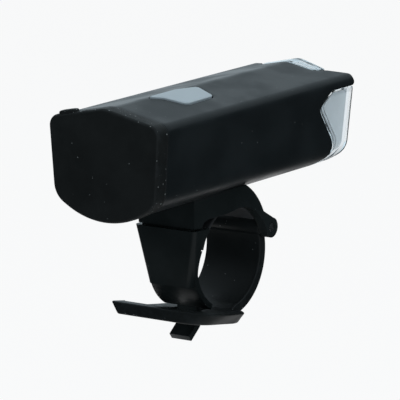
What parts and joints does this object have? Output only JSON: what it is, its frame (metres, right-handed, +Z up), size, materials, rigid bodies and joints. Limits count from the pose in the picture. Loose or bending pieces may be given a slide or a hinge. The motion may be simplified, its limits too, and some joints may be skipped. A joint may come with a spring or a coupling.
{
  "type": "bicycle headlight",
  "caption": "Slim rechargeable bicycle headlight with a roof-shaped housing, clear wrap-round lens and rubber rear cap, on a saddle with a hooked rubber strap for a handlebar.",
  "frame": {"origin": "on the handlebar's axis, in the middle of the clamp's width", "axes": "+X along the beam, +Y along the handlebar to the rider's left, +Z up through the lamp's crest"},
  "size_m": [0.0875, 0.0332, 0.0647],
  "materials": {
    "shell_plastic": "satin black, fine moulded grain",
    "clear_lens": "clear moulded plastic",
    "seal_rubber": "soft seal",
    "bright_reflector": "bright metallised plastic",
    "led_phosphor": "yellow phosphor under a clear dome",
    "white_board": "white solder mask",
    "bare_aluminium": "bare",
    "cell_wrap": "shrink wrap",
    "cradle_plastic": "plain",
    "tab_nickel": "plain strip",
    "green_board": "green solder mask",
    "screw_steel": "zinc plated",
    "socket_steel": "tin plated",
    "switch_plastic": "plain",
    "led_resin": "clear resin",
    "button_plastic": "translucent pale grey",
    "cap_rubber": "matt black",
    "clamp_plastic": "satin black",
    "pad_rubber": "matt black",
    "pin_steel": "plain",
    "strap_rubber": "satin black"
  },
  "bodies": {
    "lamp": {"body_shell": "shell_plastic", "front_lens": "clear_lens", "lens_gasket": "seal_rubber", "reflector": "bright_reflector", "led_emitter": "led_phosphor", "led_board": "white_board", "heat_sink": "bare_aluminium", "battery_cell": "cell_wrap", "battery_cradle": "cradle_plastic", "cell_tabs": "tab_nickel", "control_board": "green_board", "board_screws": "screw_steel", "usb_socket": "socket_steel", "tact_switch": "switch_plastic", "indicator_led": "led_resin", "rear_bulkhead": "shell_plastic", "bulkhead_screws": "screw_steel", "cap_tether": "cap_rubber", "saddle": "clamp_plastic", "saddle_screws": "screw_steel", "bar_pad": "pad_rubber", "rear_hook": "clamp_plastic", "strap_pin": "pin_steel"},
    "button": {"power_button": "button_plastic"},
    "cap": {"usb_cap": "cap_rubber"},
    "strap": {"strap_wrap": "strap_rubber"},
    "strap_tail": {"strap_end": "strap_rubber"}
  },
  "joints": [
    {"name": "button_press", "type": "slide", "parent": "lamp", "child": "button", "axis": [0, 0.1961, -0.9806], "range_m": [0, 0.0005], "stiffness_N_per_m": 1500},
    {"name": "cap_hinge", "type": "hinge", "parent": "lamp", "child": "cap", "pos_m": [-0.0373, 0, 0.0154], "axis": [0, -1, 0], "range_deg": [0, 110]},
    {"name": "strap_swing", "type": "hinge", "parent": "lamp", "child": "strap", "pos_m": [0.01438, 0, 0.00523], "axis": [0, -1, 0], "range_deg": [0, 45]},
    {"name": "strap_flex", "type": "hinge", "parent": "strap", "child": "strap_tail", "pos_m": [0.001, 0, -0.015], "axis": [0, -1, 0], "range_deg": [0, 67.5]}
  ],
  "couplings": [
    {"joint": "strap_flex", "follows": "strap_swing", "ratio": 1.5}
  ]
}
